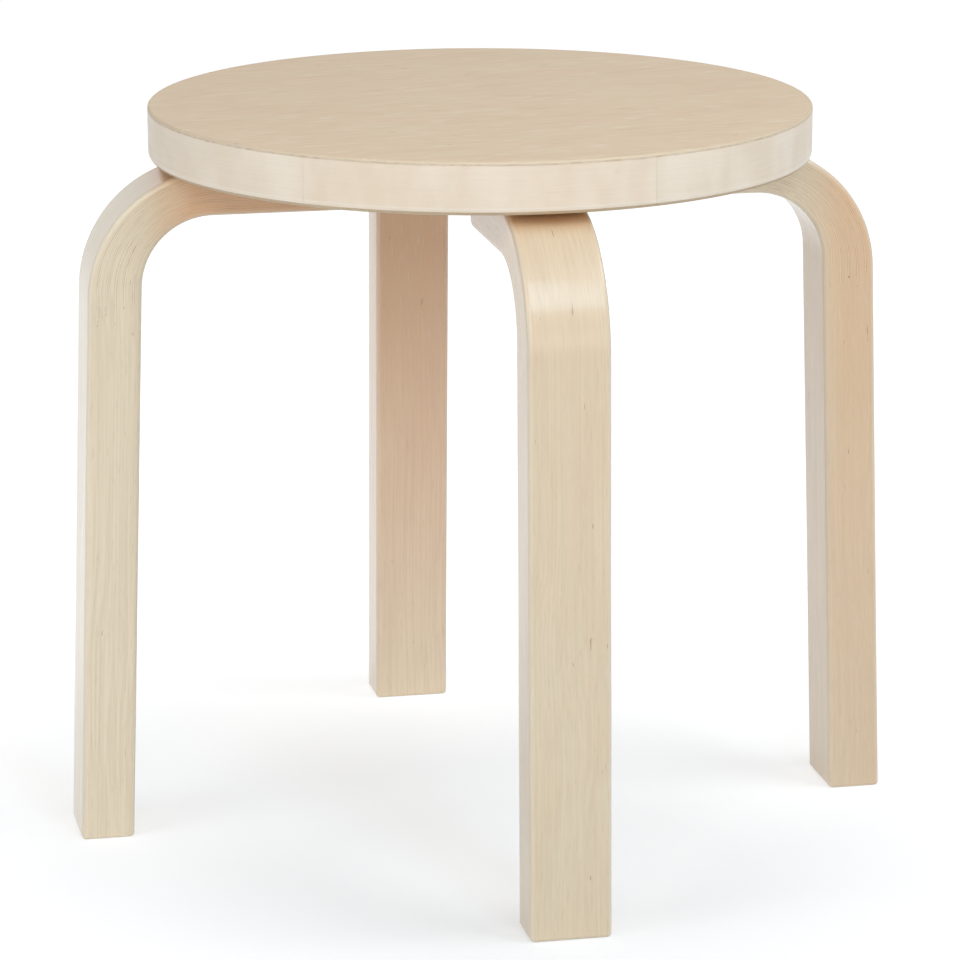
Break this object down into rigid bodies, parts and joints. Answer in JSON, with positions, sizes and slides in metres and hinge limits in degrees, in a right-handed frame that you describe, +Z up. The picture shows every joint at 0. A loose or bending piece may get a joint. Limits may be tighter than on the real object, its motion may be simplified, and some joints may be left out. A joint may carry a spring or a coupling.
{
  "type": "stacking stool",
  "caption": "Round wooden stacking stool with a veneered, solid-edged seat and bent L-shaped legs screwed up into its underside.",
  "frame": {"origin": "on the floor, under the middle of the seat", "axes": "+Z up; the legs stand on the X and Y axes, and -Y is the front"},
  "size_m": [0.4818, 0.4818, 0.422],
  "materials": {
    "seat_veneer": "clear satin lacquer on birch veneer",
    "seat_underside_veneer": "thin clear lacquer on birch veneer",
    "seat_core": "bare core board, covered on all sides",
    "seat_rim": "clear satin lacquer on solid birch",
    "leg_birch": "clear satin lacquer on solid birch",
    "strip_birch": "birch veneer glued in, lacquered where its edge shows",
    "screw_steel": "zinc plated"
  },
  "bodies": {
    "root": {"seat_top_veneer": "seat_veneer", "seat_underside_veneer": "seat_underside_veneer", "seat_core_board": "seat_core", "seat_rim_segment_1": "seat_rim", "seat_rim_segment_2": "seat_rim", "seat_rim_segment_3": "seat_rim", "seat_rim_segment_4": "seat_rim", "seat_rim_segment_5": "seat_rim", "seat_rim_segment_6": "seat_rim", "right_leg": "leg_birch", "right_leg_veneer_strip_1": "strip_birch", "right_leg_veneer_strip_2": "strip_birch", "right_leg_veneer_strip_3": "strip_birch", "right_leg_veneer_strip_4": "strip_birch", "right_leg_veneer_strip_5": "strip_birch", "right_leg_screw_1": "screw_steel", "right_leg_screw_2": "screw_steel", "right_leg_screw_3": "screw_steel", "back_leg": "leg_birch", "back_leg_veneer_strip_1": "strip_birch", "back_leg_veneer_strip_2": "strip_birch", "back_leg_veneer_strip_3": "strip_birch", "back_leg_veneer_strip_4": "strip_birch", "back_leg_veneer_strip_5": "strip_birch", "back_leg_screw_1": "screw_steel", "back_leg_screw_2": "screw_steel", "back_leg_screw_3": "screw_steel", "left_leg": "leg_birch", "left_leg_veneer_strip_1": "strip_birch", "left_leg_veneer_strip_2": "strip_birch", "left_leg_veneer_strip_3": "strip_birch", "left_leg_veneer_strip_4": "strip_birch", "left_leg_veneer_strip_5": "strip_birch", "left_leg_screw_1": "screw_steel", "left_leg_screw_2": "screw_steel", "left_leg_screw_3": "screw_steel", "front_leg": "leg_birch", "front_leg_veneer_strip_1": "strip_birch", "front_leg_veneer_strip_2": "strip_birch", "front_leg_veneer_strip_3": "strip_birch", "front_leg_veneer_strip_4": "strip_birch", "front_leg_veneer_strip_5": "strip_birch", "front_leg_screw_1": "screw_steel", "front_leg_screw_2": "screw_steel", "front_leg_screw_3": "screw_steel"}
  },
  "joints": []
}
